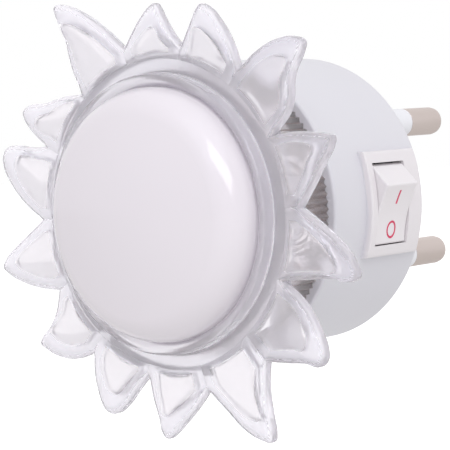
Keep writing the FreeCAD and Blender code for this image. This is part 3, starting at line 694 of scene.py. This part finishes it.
base = {
    "steps": 160,
    # radius, y, rounding
    "shell": (
        (0.0, -6.6, 0.0), (12.4, -6.6, 0.4), (17.0, -13.4, 0.4), (17.0, -28.4, 0.0), (17.55, -28.4, 0.0),
        (17.55, -31.6, 0.12), (19.0, -31.6, 0.4), (19.0, -12.8, 0.36), (13.0, -4.6, 0.0), (0.0, -4.6, 0.0),
    ),
    "noseHalfWidth": 6.85,
    "noseHalfHeight": 12.4,
    "noseLength": 5.6,
    "noseFillet": 0.6,
    "padRadius": 20.0,
    "padFront": -25.1,
    "padRidge": -14.3,
    "padFoot": (18.7, -12.9),
    "padHalfHeight": 6.7,
    "padInnerX": 15.9,
    "padSteps": 12,
    "padFillet": 0.28,
    "browRadius": 19.5,
    "sleeveSeatRadius": 2.05,
    "sleeveSeatDepth": 0.4,
    "pinHoleRadius": 1.78,
    "pinHoleDepth": 8.0,
    "slotHalfWidth": 3.42,
    "openingHalfHeight": 5.25,
    "openingFlare": 0.7,
    "openingX": (14.7, 15.9, 19.2, 22.0),
    "collarWall": 1.4,
    "collarX": (14.8, 17.6),
    "collarRim": 1.0,
    "stubSeatRadius": 1.05,
    "stubSeatReach": 0.9,
    "padToneRadius": 19.05,
}


def noseMesh():
    bm = bmesh.new()
    straight = base["noseHalfHeight"] - base["noseHalfWidth"]
    bmesh.ops.create_circle(
        bm, cap_ends=True, segments=96, radius=base["noseHalfWidth"],
        matrix=Matrix.Rotation(math.pi / 2, 4, "X"),
    )
    for vert in bm.verts:
        if abs(vert.co.z) > 0.001:
            vert.co.z += math.copysign(straight, vert.co.z)
    out = bmesh.ops.extrude_face_region(bm, geom=bm.faces[:])
    moved = [item for item in out["geom"] if isinstance(item, bmesh.types.BMVert)]
    bmesh.ops.translate(bm, vec=(0, -base["noseLength"], 0), verts=moved)
    rim = [edge for edge in bm.edges if all(abs(vert.co.y) < 0.001 for vert in edge.verts)]
    bmesh.ops.bevel(
        bm, geom=rim, offset=base["noseFillet"], offset_type="OFFSET", affect="EDGES", segments=4,
        profile=0.5, material=-1,
    )
    bmesh.ops.recalc_face_normals(bm, faces=bm.faces)
    return bm


def padMesh():
    # an arc-topped block, stepped down at its back, with its brows rounded
    half = base["padHalfHeight"]
    reach = math.degrees(math.asin(half / base["padRadius"]))
    outline = []
    for step in range(2 * base["padSteps"] + 1):
        outline.append(clockPoint(base["padRadius"], 90 - reach + reach * step / base["padSteps"]))
    inner = base["padInnerX"]
    corners = [(point.x, point.z) for point in outline] + [(inner, -half), (inner, half)]
    bm = prismMesh(corners, base["padFront"], base["padRidge"])
    back = [face for face in bm.faces if face.calc_center_median().y > base["padRidge"] - 0.01]
    out = bmesh.ops.extrude_face_region(bm, geom=back)
    for vert in out["geom"]:
        if isinstance(vert, bmesh.types.BMVert):
            vert.co.y = base["padFoot"][1]
            if vert.co.x > inner + 0.1:
                vert.co.x = math.sqrt(base["padFoot"][0] ** 2 - vert.co.z ** 2)
    bmesh.ops.delete(bm, geom=[face for face in back if face.is_valid], context="FACES_ONLY")
    bmesh.ops.recalc_face_normals(bm, faces=bm.faces)
    brow = []
    for edge in bm.edges:
        above = min(vert.co.x ** 2 + vert.co.z ** 2 for vert in edge.verts) > base["browRadius"] ** 2
        if above and edge.calc_face_angle(0.0) > 0.5:
            brow.append(edge)
    bmesh.ops.bevel(
        bm, geom=brow, offset=base["padFillet"], offset_type="OFFSET", affect="EDGES", segments=3,
        profile=0.5, material=-1,
    )
    return bm


def openingMesh():
    # straight at its mouth, then flared inward
    half = base["openingHalfHeight"]
    wide = half + base["openingFlare"]
    end, flareEnd, flareStart, mouth = base["openingX"]
    corners = (
        (mouth, -half), (flareStart, -half), (flareEnd, -wide), (end, -wide),
        (end, wide), (flareEnd, wide), (flareStart, half), (mouth, half),
    )
    return prismMesh(corners, switchY - base["slotHalfWidth"], switchY + base["slotHalfWidth"])


def collarMesh():
    halfWide = base["slotHalfWidth"] + base["collarWall"]
    halfTall = base["openingHalfHeight"] + base["openingFlare"] + base["collarRim"]
    inner, outer = base["collarX"]
    return blockMesh((inner, switchY - halfWide, -halfTall), (outer, switchY + halfWide, halfTall))


def makeBase():
    shell = turnedPiece(base["shell"], base["steps"], closed=False)
    steps = [("UNION", part) for part in (noseMesh(), padMesh(), collarMesh())]
    steps.append(("DIFFERENCE", openingMesh()))
    for height in (-pinHeight, pinHeight):
        for hole in ("sleeveSeat", "pinHole"):
            tool = rodMesh(base[hole + "Radius"], -base[hole + "Depth"], 1.0, 0.0, height)
            steps.append(("DIFFERENCE", tool))
    reach = base["slotHalfWidth"] + base["stubSeatReach"]
    seat = rodMesh(base["stubSeatRadius"], switchY - reach, switchY + reach, pivotX, 0.0)
    bm = combine(shell, *steps, ("DIFFERENCE", seat))
    layer = bm.verts.layers.float.new("milk")
    for vert in bm.verts:
        # the raised pad is a warmer white than the round wall
        vert[layer] = float(math.hypot(vert.co.x, vert.co.z) > base["padToneRadius"])
    return finishPiece("base_white", bm, "whitePlastic", "light", ("rear_housing",), 35.0)


makeBase()
print("base ready")


# the rocker and its marks

rocker = {
    "width": 6.6,
    "halfFace": 3.95,
    "faceHeight": 4.35,
    "dish": 0.5,
    "halfSkirt": 5.5,
    "skirtHeight": 1.45,
    "skirtBottom": 0.6,
    "keelHalfHeight": 2.0,
    "keelDepth": 1.0,
    "faceSteps": 16,
    "tilt": 18.0,
    "fillet": 0.22,
    "stubRadius": 1.0,
    "stubReach": 0.9,
    "stemRadius": 1.7,
    "stemLength": 2.8,
    "boreRadius": 1.0,
    "boreTop": 2.2,
    "markLift": 0.03,
}


def faceHeightAt(z):
    # the rocker's face is a shallow hollow arc
    half, dish = rocker["halfFace"], rocker["dish"]
    radius = (half * half + dish * dish) / (2 * dish)
    return rocker["faceHeight"] - dish + radius - math.sqrt(radius * radius - z * z)


def tiltRocker(bm):
    bmesh.ops.rotate(
        bm, verts=bm.verts, cent=(pivotX, switchY, 0.0),
        matrix=Matrix.Rotation(math.radians(rocker["tilt"]), 3, "Y"),
    )


def makeRocker():
    half, skirt, keel = rocker["halfFace"], rocker["halfSkirt"], rocker["keelHalfHeight"]
    skirtTop = pivotX + rocker["skirtHeight"]
    skirtLow = pivotX + rocker["skirtBottom"]
    keelX = pivotX - rocker["keelDepth"]
    corners = [(skirtTop, skirt), (skirtLow, skirt), (keelX, keel)]
    corners += [(keelX, -keel), (skirtLow, -skirt), (skirtTop, -skirt)]
    for step in range(rocker["faceSteps"] + 1):
        z = -half + 2 * half * step / rocker["faceSteps"]
        corners.append((pivotX + faceHeightAt(z), z))
    bm = prismMesh(corners, switchY - rocker["width"] / 2, switchY + rocker["width"] / 2)
    brow = []
    for edge in bm.edges:
        high = min(vert.co.x for vert in edge.verts) > skirtTop - 0.01
        if high and edge.calc_face_angle(0.0) > 0.5:
            brow.append(edge)
    bmesh.ops.bevel(
        bm, geom=brow, offset=rocker["fillet"], offset_type="OFFSET", affect="EDGES", segments=4,
        profile=0.5, material=-1,
    )
    reach = rocker["width"] / 2 + rocker["stubReach"]
    stubs = rodMesh(rocker["stubRadius"], switchY - reach, switchY + reach, pivotX, 0.0, 40)
    stem = rodMesh(rocker["stemRadius"], -rocker["stemLength"], 0.0)
    bore = rodMesh(rocker["boreRadius"], -rocker["stemLength"] - 1, rocker["boreTop"])
    quarterTurn = Matrix.Rotation(-math.pi / 2, 3, "Z")
    for part in (stem, bore):
        bmesh.ops.rotate(part, verts=part.verts, cent=(0, 0, 0), matrix=quarterTurn)
        bmesh.ops.translate(part, vec=(pivotX, switchY, 0.0), verts=part.verts)
    bm = combine(bm, ("UNION", stubs), ("UNION", stem), ("DIFFERENCE", bore))
    tiltRocker(bm)
    return finishPiece("rocker_white", bm, "rockerPlastic", "rocker", ("rocker",), 30.0)


marks = {
    "strokeHalfWidth": 0.15,
    "strokeTop": 3.1,
    "strokeBottom": 1.2,
    "ringPlace": -2.2,
    "ringHalfWidth": 0.84,
    "ringHalfHeight": 1.0,
    "thickness": 0.24,
    "sink": 0.05,
}


def layMark(name, bm):
    # drawn flat as (y across, z up) at x 0, then laid on the hollow face
    for vert in bm.verts:
        lift = vert.co.x
        vert.co.x = pivotX + faceHeightAt(vert.co.z) + lift
        vert.co.y += switchY
    tiltRocker(bm)
    return finishPiece(name, bm, "markInk", "rocker")


def makeMarks():
    bottom, top = -marks["sink"], rocker["markLift"]
    low = (bottom, -marks["strokeHalfWidth"], marks["strokeBottom"])
    high = (top, marks["strokeHalfWidth"], marks["strokeTop"])
    stroke = blockMesh(low, high)
    long = [edge for edge in stroke.edges if abs(edge.verts[0].co.z - edge.verts[1].co.z) > 0.5]
    bmesh.ops.subdivide_edges(stroke, edges=long, cuts=7)
    layMark("mark_on", stroke)

    ring = bmesh.new()
    half = 0.5 * marks["thickness"] / marks["ringHalfWidth"]
    corners = ((bottom, 1.0 - half), (top, 1.0 - half), (top, 1.0 + half), (bottom, 1.0 + half))
    section = [ring.verts.new((x, y, 0.0)) for x, y in corners]
    for a, b in zip(section, section[1:] + section[:1]):
        ring.edges.new((a, b))
    bmesh.ops.spin(
        ring, geom=ring.verts[:] + ring.edges[:], cent=(0, 0, 0), axis=(1, 0, 0), angle=math.tau, steps=48,
        use_merge=True,
    )
    bmesh.ops.scale(ring, vec=(1.0, marks["ringHalfWidth"], marks["ringHalfHeight"]), verts=ring.verts)
    bmesh.ops.translate(ring, vec=(0, 0, marks["ringPlace"]), verts=ring.verts)
    tidyMesh(ring)
    layMark("mark_off", ring)


makeRocker()
makeMarks()
print("rocker ready")


# the plug pins

pins = {
    "steps": 64,
    # radius, y, rounding
    "metal": (
        (0.0, 19.0, 0.0), (2.0, 19.0, 1.65), (2.0, 10.5, 0.1), (1.4, 10.5, 0.0),
        (1.4, -1.5, 0.0), (1.75, -1.5, 0.0), (1.75, -6.6, 0.0), (2.8, -6.6, 0.1),
        (2.8, -7.8, 0.1), (1.2, -7.8, 0.0), (1.2, -12.2, 0.1), (0.0, -12.2, 0.0),
    ),
    "sleeve": (
        (1.42, -1.48, 0.0), (1.75, -1.48, 0.0), (1.75, 0.0, 0.0), (2.0, 0.0, 0.05), (2.0, 10.46, 0.12),
        (1.42, 10.46, 0.0),
    ),
    "parts": (
        ("metal", "plug_pin_", "pinMetal", "pin_metal"),
        ("sleeve", "root_sleeve_", "sleevePlastic", "pin_sleeve_plastic"),
    ),
}


def makePin(side, height):
    for part, node, finish, slot in pins["parts"]:
        bm = turnedPiece(pins[part], pins["steps"], closed=part == "sleeve")
        bmesh.ops.translate(bm, vec=(0, 0, height), verts=bm.verts)
        finishPiece("pin_" + part + "_" + side, bm, finish, "light", (node + side,), 40.0)


makePin("upper", pinHeight)
makePin("lower", -pinHeight)
print("pins ready")


# floor, light and camera

stage = {
    "floorHeight": -0.16,
    "floorRadius": 4.0,
    "floorGlow": 0.55,
    "floorSeenGlow": 0.95,
    "worldDiffuse": (0.80, 0.79, 0.80),
    "worldAhead": (0.97, 0.97, 0.985),
    "worldBehind": (0.60, 0.58, 0.64),
    "darkSide": (0.64, -0.765, 0.06),
    "lampReach": 0.8,
    # name, both ends as (turn from the front towards +X, height) in degrees, width, power, colour
    "lamps": (
        ("softBox", (-5.0, 38.0), (85.0, 38.0), 0.7, 0.95, (0.84, 0.90, 1.0)),
        ("brightStrip", (29.0, 44.0), (69.0, 19.0), 0.34, 1.7, (0.97, 0.98, 1.0)),
    ),
}


def seenRays(nodes, links):
    # 1 for rays from the camera, straight or through clear plastic
    path = nodes.new("ShaderNodeLightPath")
    seen = nodes.new("ShaderNodeMath")
    seen.operation = "MAXIMUM"
    links.new(path.outputs["Is Camera Ray"], seen.inputs[0])
    links.new(path.outputs["Is Transmission Ray"], seen.inputs[1])
    return path, seen.outputs["Value"]


def makeFloor():
    bm = bmesh.new()
    bmesh.ops.create_circle(bm, cap_ends=True, segments=96, radius=stage["floorRadius"])
    bmesh.ops.translate(bm, vec=(0, 0, stage["floorHeight"]), verts=bm.verts)
    floor = meshObject("pale_floor", bm)
    material = bpy.data.materials.new("paleFloor")
    material.use_nodes = True
    nodes, links = material.node_tree.nodes, material.node_tree.links
    shader = nodes["Principled BSDF"]
    shader.inputs["Base Color"].default_value = (0.25, 0.25, 0.25, 1.0)
    shader.inputs["Roughness"].default_value = 0.9
    shader.inputs["Emission Color"].default_value = (1.0, 1.0, 1.0, 1.0)
    path, seen = seenRays(nodes, links)
    glow = nodes.new("ShaderNodeMapRange")
    glow.inputs["To Min"].default_value = stage["floorGlow"]
    glow.inputs["To Max"].default_value = stage["floorSeenGlow"]
    links.new(seen, glow.inputs["Value"])
    links.new(glow.outputs["Result"], shader.inputs["Emission Strength"])
    floor.data.materials.append(material)


def makeWorld():
    # white to the camera; through clear plastic and in reflections one side of the studio is darker
    world = bpy.data.worlds.new("studio")
    bpy.context.scene.world = world
    world.use_nodes = True
    nodes, links = world.node_tree.nodes, world.node_tree.links
    nodes.clear()
    place = nodes.new("ShaderNodeTexCoord")
    facing = nodes.new("ShaderNodeVectorMath")
    facing.operation = "DOT_PRODUCT"
    facing.inputs[1].default_value = stage["darkSide"]
    links.new(place.outputs["Generated"], facing.inputs[0])
    fade = nodes.new("ShaderNodeMapRange")
    fade.interpolation_type = "SMOOTHSTEP"
    fade.inputs["From Min"].default_value = -0.3
    fade.inputs["From Max"].default_value = 0.9
    links.new(facing.outputs["Value"], fade.inputs["Value"])
    tone = nodes.new("ShaderNodeMix")
    tone.data_type = "RGBA"
    tone.inputs["A"].default_value = (*stage["worldAhead"], 1.0)
    tone.inputs["B"].default_value = (*stage["worldBehind"], 1.0)
    links.new(fade.outputs["Result"], tone.inputs["Factor"])
    path, seen = seenRays(nodes, links)
    even = nodes.new("ShaderNodeMix")
    even.data_type = "RGBA"
    even.inputs["B"].default_value = (*stage["worldDiffuse"], 1.0)
    links.new(path.outputs["Is Diffuse Ray"], even.inputs["Factor"])
    links.new(tone.outputs["Result"], even.inputs["A"])
    plain = nodes.new("ShaderNodeMix")
    plain.data_type = "RGBA"
    plain.inputs["B"].default_value = (1.0, 1.0, 1.0, 1.0)
    links.new(path.outputs["Is Camera Ray"], plain.inputs["Factor"])
    links.new(even.outputs["Result"], plain.inputs["A"])
    background = nodes.new("ShaderNodeBackground")
    links.new(plain.outputs["Result"], background.inputs["Color"])
    result = nodes.new("ShaderNodeOutputWorld")
    links.new(background.outputs["Background"], result.inputs["Surface"])


def lampPoint(turn, height):
    flat = math.cos(math.radians(height)) * stage["lampReach"]
    turn = math.radians(turn)
    lift = math.sin(math.radians(height)) * stage["lampReach"]
    return Vector((flat * math.sin(turn), -flat * math.cos(turn), lift))


def makeLamps():
    for name, start, end, width, power, colour in stage["lamps"]:
        a, b = lampPoint(*start), lampPoint(*end)
        data = bpy.data.lights.new(name, "AREA")
        data.shape = "RECTANGLE"
        data.size, data.size_y = (b - a).length, width
        data.energy = power
        data.color = colour
        lamp = bpy.data.objects.new(name, data)
        across = (b - a).normalized()
        away = ((a + b) / 2).normalized()
        turn = Matrix((across, away.cross(across), away)).transposed().to_4x4()
        lamp.matrix_world = Matrix.Translation(away * stage["lampReach"]) @ turn
        bpy.context.scene.collection.objects.link(lamp)


camera = {
    "lens": 160.0,
    "place": (0.166258, -0.228374, 0.014618),
    "right": (0.767199, 0.640133, -0.040438),
    "up": (-0.010787, 0.075913, 0.997056),
    "back": (0.641318, -0.764504, 0.065145),
}


def makeCamera():
    data = bpy.data.cameras.new("viewpoint")
    data.lens = camera["lens"]
    data.sensor_width = 36.0
    data.clip_start = 0.005
    data.clip_end = 20.0
    thing = bpy.data.objects.new("viewpoint", data)
    turn = Matrix((camera["right"], camera["up"], camera["back"])).transposed().to_4x4()
    thing.matrix_world = Matrix.Translation(camera["place"]) @ turn
    bpy.context.scene.collection.objects.link(thing)
    bpy.context.scene.camera = thing


makeFloor()
makeWorld()
makeLamps()
makeCamera()
scene = bpy.context.scene
scene.view_settings.view_transform = "Standard"
scene.cycles.max_bounces = 32
scene.cycles.transmission_bounces = 24
scene.cycles.glossy_bounces = 24
print("stage ready")
